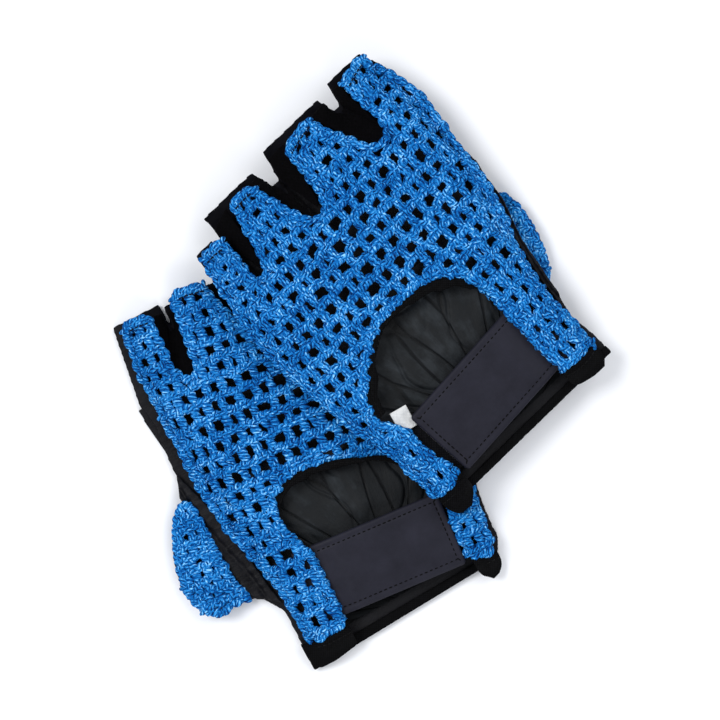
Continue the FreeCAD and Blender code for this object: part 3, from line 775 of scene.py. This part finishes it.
# %% The soft pieces of both gloves
for side in ("right", "left"):
    glove, thumb = side + "_glove", side + "_thumb"
    palm = soft_piece(side + "_palm_skin", side + "_palm_leather", LEATHER, glove, 0.9,
                      palm_move(side))
    dull_ends(palm.data, side)
    soft_piece(side + "_grip_skin", side + "_grip_patch", LEATHER, glove, 0.8)
    heel = soft_piece(side + "_heel_skin", side + "_heel_pad", LEATHER, glove, 0.6,
                      heel_move(side))
    lining = soft_piece(side + "_lining_skin", side + "_palm_lining", LINING, glove, 0.45,
                        lining_move(side), 1)
    fan_map(lining.data, side)
    flat_area(side + "_palm_lining", 0.5)
    soft_piece(side + "_wrist_binding", side + "_wrist_hem", HEM, glove, 0.5, palm_move(side))
    soft_piece(side + "_gusset_skin", side + "_thumb_gusset", LEATHER, glove, 0.45,
               gusset_move(side))
    soft_piece(side + "_thumb_front", side + "_thumb_leather", LEATHER, thumb, 0.8)
    for gap in ("ring", "middle", "index"):
        web = soft_piece("%s_%s_web" % (side, gap), "%s_%s_gore" % (side, gap), STRETCH, glove,
                         0.5, web_move(gap), 3)
        if GAP_OPEN[side][gap][1] > 1:
            slit(web.data, side, gap)
    soft_piece(side + "_moon_binding", side + "_opening_binding", HEM, glove, 0.45,
               binding_move(side))
    for leg in ("thumb", "little"):
        soft_piece("%s_%s_hem" % (side, leg), "%s_%s_leg_hem" % (side, leg), HEM, glove, 0.4,
                   leg_hem_move(side, leg), 4)

# %% [markdown]
# ## The crochet
#
# Each back is crocheted in rows across the hand. A stitch is a post of yarn
# between two rows, and a chain runs along each row, so square holes are left
# between them. The net is laid out on the glove's outline, and every strand
# is one short curve with a round section, because then the plies can wind
# along it.

# %% Outlines of the crochet
THUMB_SIDE = {
    "right": [(41.5, 8), (42.2, 31.8), (45.3, 46.4), (49.8, 61.7), (53.0, 82), (53.4, 97),
              (53.6, 114), (53.8, 134)],
    "left": [(41.5, 8), (41.7, 23), (41.7, 40.5), (46.6, 61), (53.5, 79), (57, 97), (59, 114),
             (62, 134)],
}
LITTLE_SIDE = {
    "right": [(-56, 128), (-59.5, 108), (-59, 84), (-55, 57), (-50.5, 37), (-46.8, 8)],
    "left": [(-56, 128), (-59.5, 108), (-59, 84), (-56, 57), (-52.5, 37), (-51, 8)],
}
# each finger: the corners of its root and of its end, little finger's side first
FINGERS = {
    "left": {
        "index": ((40.5, 131), (61.5, 134), (39.5, 159), (54.4, 162.4)),
        "middle": ((0.8, 127), (30.0, 130), (3.4, 155.5), (20.6, 158.5)),
        "ring": ((-35.0, 124), (-9.0, 126), (-29.0, 155), (-15.5, 155)),
        "little": ((-56.5, 124), (-42.0, 124), (-53.0, 147.5), (-40.0, 146.5)),
    },
    "right": {
        "index": ((38.5, 131), (53.8, 134), (38.0, 161.5), (51.6, 162)),
        "middle": ((3.0, 128), (31.0, 130), (11.5, 163), (27.5, 165)),
        "ring": ((-35.0, 124), (-9.0, 126), (-29.0, 155), (-15.5, 155)),
        "little": ((-56.5, 124), (-42.0, 124), (-53.0, 145), (-42.0, 145)),
    },
}


def in_moon(side, x, y):
    """Whether a place lies in the half moon or the wrist slot."""
    corners = MOON.get(side, [])
    inside = False
    for (x0, y0), (x1, y1) in zip(corners, corners[1:] + corners[:1]):
        if (y0 > y) != (y1 > y) and x < x0 + (x1 - x0) * (y - y0) / (y1 - y0):
            inside = not inside
    return inside


# %% Height of the back, read from its solid


DRAWN = 4.6


class Skin:
    """Finds the middle of a thin mesh at a place on the glove, from above or below.

    The right back is read further out than it is laid, as its edge is drawn in."""

    def __init__(self, mesh, side, thick, below=False):
        bm = open_mesh(mesh)
        bmesh.ops.transform(bm, matrix=BACK[side], verts=bm.verts)
        self.tree = BVHTree.FromBMesh(bm)
        bm.free()
        self.half = thick / 2
        self.start = -60 if below else 60
        self.drawn = DRAWN if side == "right" and thick > 2 else 0.0

    def height(self, x, y):
        way = Vector((0, 0, -math.copysign(1, self.start)))
        x += self.drawn * ease((x - 26) / 27) * ease((y - 64) / 22)
        hit = self.tree.ray_cast(Vector((x, y, self.start)), way)[0]
        if hit is None:
            near = self.tree.find_nearest(Vector((x, y, 12)))[0]
            return near.z - self.half
        return hit.z - self.half

    def point(self, x, y, over=0.0):
        return Vector((x, y, self.height(x, y) + over))


# %% Strands of yarn
YARN_RADIUS = 1.12
SIDES = 6


def tube_mesh(name, data, lengths):
    """The curve's tubes, closed at their ends, with U in millimetres along each."""
    data.use_fill_caps = True
    mesh = shown_mesh(link_new(name + "_curve", data))
    stretch = []
    for spline, length in zip(data.splines, lengths):
        stretch += [length] * ((len(spline.points) - 1) * SIDES * 4)
    walls = mesh.uv_layers.active.data[-len(stretch):]
    for corner, (start, length) in zip(walls, stretch):
        corner.uv.x = start + corner.uv.x * length
    bm = open_mesh(mesh, 0.0001 * MM)
    bm.to_mesh(mesh)
    bm.free()
    mesh.name = name
    return mesh


class Yarn:
    """Collects strands as splines of one curve, in the frame's metres."""

    def __init__(self, name, side, skin, seed):
        self.data = bpy.data.curves.new(name, "CURVE")
        self.data.dimensions = "3D"
        self.data.bevel_depth = YARN_RADIUS * MM
        self.data.bevel_resolution = 1
        self.place, self.skin, self.side = PLACE[side], skin, side
        self.random = random.Random(seed)
        self.lengths = []

    def strand(self, points, radius=1.0, fade=0.6):
        """One strand through the places, with its ends drawn in."""
        spline = self.data.splines.new("POLY")
        spline.points.add(len(points) - 1)
        turn = self.random.uniform(0, 2 * math.pi)
        for index, (target, point) in enumerate(zip(spline.points, points)):
            target.co = (*(self.place @ point), 1)
            target.radius = radius * (fade if index in (0, len(points) - 1) else 1.0)
            target.tilt = turn
        spline.use_smooth = True
        length = sum((b - a).length for a, b in zip(points, points[1:]))
        self.lengths.append((self.random.uniform(0, 500), length))

    def wind(self, start, end, strands, turns, wide, deep, plait=False, bow=0.0, radius=1.0,
             stations=8):
        """Strands that wind round each other, or are plaited, from start to end."""
        start, end = Vector(start), Vector(end)
        run = end - start
        across = Vector((-run.y, run.x)).normalized()
        phase = self.random.uniform(0, 2 * math.pi)
        for number in range(strands):
            points = []
            for step in range(stations + 1):
                share = step / stations
                angle = phase + 2 * math.pi * (number / strands + turns * share)
                slack = math.sin(share * math.pi)
                close = 0.45 + 0.55 * min(1.0, 4 * share, 4 * (1 - share))
                flat = start + run * share
                flat += across * (wide * close * math.cos(angle) + bow * slack)
                lift = deep * math.sin(2 * angle if plait else angle)
                points.append(self.skin.point(flat.x, flat.y, lift))
            self.strand(points, radius * self.random.uniform(0.92, 1.1))

    def loop(self, centre, angle, reach, swell=0.9, height=1.25, radius=1.0):
        """A short strand drawn over a crossing, as where a stitch is pulled through."""
        centre = Vector(centre)
        way = Vector((math.cos(angle), math.sin(angle)))
        side = Vector((-way.y, way.x))
        points = []
        for step in range(7):
            share = step / 3 - 1
            flat = centre + way * (reach * share) + side * (swell * (0.55 - share * share))
            points.append(self.skin.point(flat.x, flat.y, height * (1 - share ** 4) - 0.3))
        self.strand(points, radius)

    def finish(self, name, body, *nodes):
        mesh = tube_mesh(name, self.data, self.lengths)
        piece = new_object(name, mesh, YARN, body, *nodes)
        triangles = sum(len(face.vertices) - 2 for face in mesh.polygons)
        print(name, len(self.lengths), "strands,", triangles, "triangles")
        return piece


# %% The net of stitches
ROW_PITCH = 7.4
STITCH_PITCH = 6.9
FIRST_ROW = 11.5
HAND_ROWS = 16
EDGE = 1.5
ROW_LEAN = 0.09


def cut_at_moon(side, inner, outer):
    """Where the way from a place on the crochet reaches the opening's edge."""
    inner, outer = Vector(inner), Vector(outer)
    low, high = 0.0, 1.0
    for _ in range(12):
        middle = (low + high) / 2
        place = inner.lerp(outer, middle)
        if in_moon(side, place.x, place.y):
            high = middle
        else:
            low = middle
    return inner.lerp(outer, low)


def trimmed(side, first, second):
    """The part of a stitch that is not in the opening, or nothing."""
    inside = [in_moon(side, *first), in_moon(side, *second)]
    if all(inside):
        return None
    if inside[0]:
        first = cut_at_moon(side, second, first)
    elif inside[1]:
        second = cut_at_moon(side, first, second)
    if (Vector(second) - Vector(first)).length < 1.2:
        return None
    return Vector(first), Vector(second)


def chain(yarn, first, second, bow=0.7):
    """The plaited top of a row, pulled up where the next stitch holds it."""
    ends = trimmed(yarn.side, first, second)
    if ends:
        length = (ends[1] - ends[0]).length
        yarn.wind(*ends, 3, length / 7.0, 1.25 * yarn.random.uniform(0.85, 1.15), 0.95, plait=True,
                  bow=bow, stations=max(4, round(length * 1.15)))


def post(yarn, foot, head):
    """An upright stitch: three strands wound once, and one drawn across them."""
    ends = trimmed(yarn.side, foot, head)
    if not ends:
        return
    length = (ends[1] - ends[0]).length
    yarn.wind(*ends, 3, length / 8.0, 1.05 * yarn.random.uniform(0.85, 1.2), 0.85,
              bow=yarn.random.uniform(-0.6, 0.6), stations=max(3, round(length * 0.85)))
    if length > 5 and yarn.random.random() < 0.6:
        spot = ends[0].lerp(ends[1], yarn.random.uniform(0.3, 0.7))
        yarn.loop(spot, yarn.random.choice((0.85, 2.3)), 2.2, 0.5)


def net(yarn, rows, pitch, shake, extra, below=None):
    """Rows of stitches; every second row is shifted by half a stitch.

    Each row is (low x, high x, height as a function of x). Where extra(x, y)
    is high, more holes are crossed by a slack strand."""
    for number, (low, high, height) in enumerate(rows):
        count = max(1, round((high - low) / pitch))
        shift = 0.5 * (number % 2)
        shares = [(column + shift) / count for column in range(count + 1 - number % 2)]
        heads = []
        for share in shares:
            share -= 0.12 * math.sin(2 * math.pi * share) / (2 * math.pi)
            x = low + (high - low) * share + yarn.random.uniform(-shake, shake)
            heads.append(Vector((x, height(x) + yarn.random.uniform(-shake, shake))))
        line = [Vector((low, height(low)))] * (number % 2) + heads
        line += [Vector((high, height(high)))] * (number % 2)
        for first, second in zip(line, line[1:]):
            chain(yarn, first, second)
        for head in heads:
            if below:
                foot = foot_on(below, head.x)
                post(yarn, foot, head)
                if yarn.random.random() < extra(*head):
                    aside = yarn.random.choice((-0.55, 0.55)) * pitch
                    over = head + Vector((aside, 0))
                    over.x = min(high - 1, max(low + 1, over.x))
                    slack = trimmed(yarn.side, foot_on(below, over.x + aside * 0.6), over)
                    if slack:
                        yarn.wind(*slack, 2, 0.7, 0.7, 0.6, stations=5)
            if not in_moon(yarn.side, *head):
                yarn.loop(head, yarn.random.choice((0.5, 2.6)) + yarn.random.uniform(-.4, .4), 2.4)
        below = line
    return below


def foot_on(line, x):
    """The place on a row's chain that a stitch at x is worked into."""
    for first, second in zip(line, line[1:]):
        if x <= second.x:
            break
    share = min(1.0, max(0.0, (x - first.x) / max(0.1, second.x - first.x)))
    return first.lerp(second, share) + Vector((0, 0.8 * math.sin(math.pi * share)))


def hand_rows(side):
    """Rows lie straight across at the wrist and lean with the fingers above."""
    rows = []
    for row in range(HAND_ROWS):
        y = FIRST_ROW + ROW_PITCH * row
        lean = ROW_LEAN * row / HAND_ROWS
        low = along_curve(LITTLE_SIDE[side], y) + EDGE
        high = along_curve(THUMB_SIDE[side], y) - EDGE
        rows.append((low, high, lambda x, y=y, lean=lean: y + lean * x))
    return rows


def hand_extra(side):
    """Stitches crowd on the legs and along both sides of the hand."""
    def extra(x, y):
        if y < 48:
            return 0.75
        if x > along_curve(THUMB_SIDE[side], y) - 11:
            return 0.6
        if x < along_curve(LITTLE_SIDE[side], y) + 8:
            return 0.6
        return 0.05
    return extra


def finger_rows(finger, height):
    """Five rows from the hand's last row, whose height is given, to the finger's end."""
    low_root, high_root, low_end, high_end = (Vector(corner) for corner in finger)
    slope = (high_end.y - low_end.y) / (high_end.x - low_end.x)
    rows = []
    for row in range(1, 6):
        share = row / 5
        low = low_root.x + (low_end.x - low_root.x) * share + EDGE
        high = high_root.x + (high_end.x - high_root.x) * share - EDGE

        def level(x, share=share):
            end = low_end.y - EDGE + slope * (x - low_end.x)
            return height(x) + (end - height(x)) * share
        rows.append((low, high, level))
    return rows


# %% Rims of the crochet


def smooth_path(points, step, closed=False):
    """Even places along a Catmull-Rom curve through the points."""
    points = [Vector(point) for point in points]
    ring = points if closed else [2 * points[0] - points[1]] + points + [2 * points[-1] - points[-2]]
    count = len(points) if closed else len(points) - 1
    dense = []
    for index in range(count):
        if closed:
            a, b, c, d = (ring[(index + k - 1) % len(ring)] for k in range(4))
        else:
            a, b, c, d = ring[index:index + 4]
        for part in range(16):
            t = part / 16
            dense.append(0.5 * (2 * b + (c - a) * t + (2 * a - 5 * b + 4 * c - d) * t * t
                                + (3 * b - a - 3 * c + d) * t ** 3))
    dense.append(points[0] if closed else points[-1])
    path, travelled, target = [dense[0]], 0.0, step
    for first, second in zip(dense, dense[1:]):
        length = (second - first).length
        while travelled + length >= target:
            path.append(first.lerp(second, (target - travelled) / length))
            target += step
        travelled += length
    return path


def rim(yarn, points, out, loop=5.2, closed=False):
    """A rim of shell loops along an edge, with a wound cord under it."""
    path = smooth_path(points, loop, closed)
    for first, second in zip(path, path[1:]):
        run = second - first
        side = Vector((run.y, -run.x)).normalized() * out
        yarn.wind(first, second, 2, 0.8, 0.8, 0.6, radius=1.05, stations=6)
        bulge = yarn.random.uniform(1.1, 2.3)
        points = []
        for step in range(8):
            share = step / 7
            swell = math.sin(share * math.pi)
            flat = first - run * 0.12 + run * (1.24 * share) + side * (bulge * swell - 0.3)
            lift = 0.9 * swell - 0.5 + 0.4 * math.sin(share * 9)
            points.append(yarn.skin.point(flat.x, flat.y, lift))
        yarn.strand(points)


def outer_rim(side):
    points = [(x - EDGE, y) for x, y in THUMB_SIDE[side][:-1]]
    for name, (low_root, high_root, low_end, high_end) in FINGERS[side].items():
        points += [(high_root[0] - EDGE, high_root[1] + 3), (high_end[0] - EDGE, high_end[1] - 4.5),
                   (high_end[0] - 4.0, high_end[1] - EDGE), (low_end[0] + 4.0, low_end[1] - EDGE),
                   (low_end[0] + EDGE, low_end[1] - 4.5)]
        if name != "little":
            points += [(low_root[0] + EDGE, low_root[1] + 4), (low_root[0] - 3.2, low_root[1] - 2.5)]
    return points + [(x + EDGE, y) for x, y in LITTLE_SIDE[side]]


def opening_rim(side):
    """Just inside the opening's edge; it laps over the strap on the thumb side leg."""
    return [(x + (0.9 if x > 20 else math.copysign(1.6, x + 9)),
             y + (1.2 if y > 55 else 6.5 if y < 10 else 0)) for x, y in MOON[side]]


# %% The two backs
LEG_ENDS = {
    "left": (((24.2, 13.4), (27.5, 11.2), (32.5, 10.4), (37, 11.0), (40.2, 13.2)),
             ((-49.6, 10.6), (-47, 9.4), (-39.5, 9.2), (-36.8, 10.4))),
    "right": (((24.0, 10.2), (28, 8.6), (37, 8.4), (40.6, 10.8)),
              ((-45.4, 9.2), (-43, 8.4), (-38, 9.6), (-35.0, 12.0))),
}


def crochet_back(side, seed):
    node = side + "_back_crochet"
    skin = Skin(frame["nodes"][node].data, side, 3.0)
    rows = hand_rows(side)
    hand = Yarn(side + "_hand_yarn", side, skin, seed)
    last = net(hand, rows, STITCH_PITCH, 0.9, hand_extra(side))
    hand.finish(side + "_crochet_hand", side + "_glove", node)
    fingers = Yarn(side + "_finger_yarn", side, skin, seed + 100)
    for finger in FINGERS[side].values():
        net(fingers, finger_rows(finger, rows[-1][2]), 5.9, 0.6, lambda x, y: 0.12, last)
    rim(fingers, outer_rim(side), 1)
    rim(fingers, opening_rim(side), 1)
    for ends in LEG_ENDS[side]:
        rim(fingers, ends, 1, 4.6)
    fingers.finish(side + "_crochet_fingers", side + "_glove", node)


for number, side in enumerate(("right", "left")):
    crochet_back(side, 11 + number)

# %% The crochet of the thumbs
THUMB_INNER = [(54.5, 34), (57.2, 45), (57.2, 61.5), (58.5, 78), (60, 86)]
THUMB_OUTER = [(60, 86), (67.5, 80.8), (75.5, 65.4), (78.5, 50.5), (76.0, 41.0)]
THUMB_END = [(71.0, 35.5), (65.7, 34.0), (60.2, 36.5)]
TUCKED, TUCK_MORE, TUCK_DOWN = -28.0, -8.0, -10.7


def about_crotch(degrees):
    """A turn about the left thumb's joint, and the way up there."""
    joint = JOINTS["left_thumb_swing"]
    crotch, up = Vector(joint["pos_m"]), Vector(joint["axis"]).normalized()
    return (Matrix.Translation(crotch) @ Matrix.Rotation(math.radians(degrees), 4, up)
            @ Matrix.Translation(-crotch)), up


def thumb_matrix(side):
    """The left thumb is turned in and down under the palm."""
    if side == "right":
        return PLACE["right"]
    turn, up = about_crotch(TUCKED)
    return Matrix.Translation(up * TUCK_DOWN * MM) @ turn @ PLACE["left"]


def tuck_in(mesh, side):
    """The left thumb's soft pieces lie a little further in than its solids."""
    if side == "left":
        mesh.transform(about_crotch(TUCK_MORE)[0])


def thumb_rows():
    rows = []
    for row in range(9):
        y = 40.5 + 5.4 * row
        low, high = along_curve(THUMB_INNER, y) + EDGE, along_curve(THUMB_OUTER, y) - EDGE
        if high - low > 4:
            rows.append((low, high, lambda x, y=y: y))
    return rows


def thumb_net(side, seed):
    place = thumb_matrix(side)
    PLACE["thumb"], BACK["thumb"] = place, place.inverted()
    skin = Skin(frame["nodes"][side + "_thumb_crochet"].data, "thumb", 2.6)
    yarn = Yarn(side + "_thumb_yarn", "thumb", skin, seed)
    net(yarn, thumb_rows(), 4.8, 0.6, lambda x, y: 0.5)
    middle = Vector((66.0, 58.0))
    ring = [Vector(point).lerp(middle, EDGE / (Vector(point) - middle).length)
            for point in THUMB_INNER + THUMB_OUTER[1:] + THUMB_END]
    rim(yarn, ring, 1, closed=True)
    knit = yarn.finish(side + "_thumb_knit", side + "_thumb", side + "_thumb_crochet")
    tuck_in(knit.data, side)
    tuck_in(bpy.data.objects[side + "_thumb_front"].data, side)


for number, side in enumerate(("right", "left")):
    thumb_net(side, 31 + number)

# %% [markdown]
# ## The strap
#
# The strap face is a soft coated tab with rounded corners and a row of
# stitches near its edge. It is modelled new, a little domed, and the stitches
# are real thread that sinks into it.

# %% Strap face and its stitches


def strap_matrix(side):
    """The strap's own millimetres: from the bend along -X, with +Z up."""
    joint = JOINTS[side + "_strap_peel"]
    along = Vector(joint["axis"]).normalized()
    up = PLACE[side].to_3x3() @ Vector((0, 0, 1))
    up.normalize()
    across = along.cross(up).normalized()
    rotate = Matrix((across, along, up)).transposed().to_4x4()
    return Matrix.Translation(Vector(joint["pos_m"])) @ rotate @ Matrix.Diagonal((MM, MM, MM, 1))


def strap_fall(along):
    """The strap dips where it goes under the leg."""
    return 1.35 * ease((along + 5.0) / 8.0)


def bend_with_strap(piece, side):
    """Bakes the piece's place into its points; the strap's matrix is found but not used."""
    matrix = strap_matrix(side)
    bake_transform(piece)


STRAP_END, STRAP_LENGTH, STRAP_HALF = -52.4, 66.4, 16.1


def strap_face(side):
    """A coated strip with round corners and a groove that the stitches lie in."""
    bm = bmesh.new()
    bmesh.ops.create_grid(bm, x_segments=92, y_segments=46, size=0.5)
    bmesh.ops.scale(bm, vec=(STRAP_LENGTH, 2 * STRAP_HALF, 1), verts=bm.verts)
    bmesh.ops.translate(bm, vec=(STRAP_END + STRAP_LENGTH / 2, 0, 2.1), verts=bm.verts)
    corner = 1.6
    for vertex in bm.verts:
        x, y = vertex.co.x, vertex.co.y
        from_end, from_side = x - STRAP_END, STRAP_HALF - abs(y)
        if from_end < corner and from_side < corner:
            over_x, over_y = corner - from_end, corner - from_side
            pull = max(over_x, over_y) / max(0.01, math.hypot(over_x, over_y))
            vertex.co.x = STRAP_END + corner - over_x * pull
            vertex.co.y = math.copysign(STRAP_HALF - corner + over_y * pull, y)
        edge = min(from_end, from_side)
        groove = math.exp(-((edge - 2.6) / 0.55) ** 2)
        vertex.co.z += 0.12 * min(1.0, edge / 6.0) - 0.22 * groove - 0.5 * math.exp(-edge / 0.5)
        vertex.co.z += 0.15 * ripple(x, y, 0.06, 9.0) - strap_fall(x)
    mesh = plate_mesh(bm, 1.4, strap_matrix(side), side + "_strap_face")
    piece = new_object(side + "_strap_face", mesh, FACE, None, side + "_strap_tab",
                       side + "_strap_root")
    bend_with_strap(piece, side)


def stitch_row(name, matrix, line, height, body, closed=False, pitch=2.3, length=1.5,
               radius=0.3, up=1):
    """Dashes of thread along a line, that rise from the surface and go back in."""
    data = bpy.data.curves.new(name, "CURVE")
    data.dimensions = "3D"
    data.bevel_depth = radius * MM
    data.bevel_resolution = 1
    path = smooth_path(line, pitch, closed)
    for first, second in zip(path, path[1:]):
        run = (second - first).normalized() * length
        spline = data.splines.new("POLY")
        spline.points.add(4)
        for step, point in enumerate(spline.points):
            share = step / 4
            flat = first + run * share
            rise = up * (0.12 - 0.3 * abs(2 * share - 1) ** 2)
            point.co = (*(matrix @ Vector((flat.x, flat.y, height(flat.x, flat.y) + rise))), 1)
    mesh = tube_mesh(name, data, [(0.0, length)] * len(data.splines))
    return new_object(name, mesh, THREAD, body)


for side in ("right", "left"):
    strap_face(side)
    side_line, end_line = 12.9, -49.6
    frame_line = [(8, -side_line), (-20, -side_line), (end_line + 0.8, -side_line),
                  (end_line, 0.8 - side_line), (end_line, side_line - 0.8),
                  (end_line + 0.8, side_line), (-20, side_line), (8, side_line)]
    stitches = stitch_row(side + "_strap_stitches", strap_matrix(side), frame_line,
                          lambda x, y: 1.9 - strap_fall(x), None)
    bend_with_strap(stitches, side)

# %% [markdown]
# ## The sewing on the gloves
#
# The hems, the binding, the ends of the fingers and the patches of the palm
# are all sewn down. A row of short strands is laid on each seam, at the height
# that a ray finds on the finished piece.

# %% Seams


def seam(name, piece, side, line, below=False, closed=False):
    """A row of stitches on a piece that rides on the glove."""
    skin = Skin(bpy.data.objects[piece].data, side, 0.0, below)
    return stitch_row(name, PLACE[side], line, skin.height, side + "_glove", closed,
                      radius=0.2 if below else 0.26, up=-1 if below else 1)


def finger_seam(side, finger):
    """Black thread holds the crochet's end to the leather."""
    low, high = (Vector(corner) for corner in FINGERS[side][finger][2:])
    skin = Skin(frame["nodes"][side + "_back_crochet"].data, side, 0.0)
    line = [low + Vector((1.5, -3.4)), low.lerp(high, 0.5) + Vector((0, -3.0)),
            high + Vector((-1.5, -3.4))]
    stitch_row("%s_%s_end_seam" % (side, finger), PLACE[side], line,
               lambda x, y: skin.height(x, y) + 0.55, side + "_glove", radius=0.3)


for side in ("right", "left"):
    for finger in FINGERS[side]:
        finger_seam(side, finger)
    seam(side + "_moon_seam", side + "_moon_binding", side,
         [Vector(place).lerp(MOON_MIDDLE, 0.055) for place in MOON[side][4:-3]])
    for leg in ("thumb", "little"):
        inward = 4.4 if (side, leg) == ("right", "little") else 0.8
        line = [(x + inward, top - 2.6) for x, top, foot in HEMS[side, leg][:-1]]
        seam("%s_%s_hem_seam" % (side, leg), "%s_%s_hem" % (side, leg), side, line)
    seam(side + "_heel_seam", side + "_heel_skin", side,
         [(-47, 19), (-40, 15.5), (0, 15.5), (38, 17), (40.5, 30), (41, 62), (36, 67.3),
          (0, 67.3), (-46, 67), (-48.5, 55)], below=True, closed=True)
    seam(side + "_grip_seam", side + "_grip_skin", side, [(-55, 98.4), (0, 98.4), (55, 98.4)],
         below=True)

# %% [markdown]
# ## The pieces kept from the frame
#
# The tapes and bands under the strap are flat webbing of the right size, so
# they stay as they are and only get their cloth.

# %% Finishes for the kept pieces
for side in ("right", "left"):
    for node, material in (("_strap_backing", WEBBING), ("_loop_tongue", WEBBING),
                           ("_hook_tape", HOOK), ("_loop_tape", LOOP)):
        data = frame["nodes"][side + node].data
        data.materials.clear()
        data.materials.append(material)

# %% The care label


def care_label():
    """A bare woven ribbon, sewn in at the opening's edge and tucked under the strap."""
    bm = bmesh.new()
    bmesh.ops.create_grid(bm, x_segments=14, y_segments=16, size=0.5)
    bmesh.ops.scale(bm, vec=(7.6, 9.6, 1), verts=bm.verts)
    bmesh.ops.rotate(bm, matrix=Matrix.Rotation(math.radians(-14), 3, "Z"), verts=bm.verts)
    for vertex in bm.verts:
        x, y = vertex.co.x - 37.9, vertex.co.y + 41.8
        under = ease((x + 39.0) / 4.0) * ease((45.5 - y) / 4.0)
        vertex.co = (x, y, 10.6 - 1.7 * under + 0.3 * math.sin(0.6 * y))
    mesh = plate_mesh(bm, 0.22, PLACE["left"], "left_label")
    new_object("left_label", mesh, RIBBON, "left_glove", "left_care_label")


care_label()
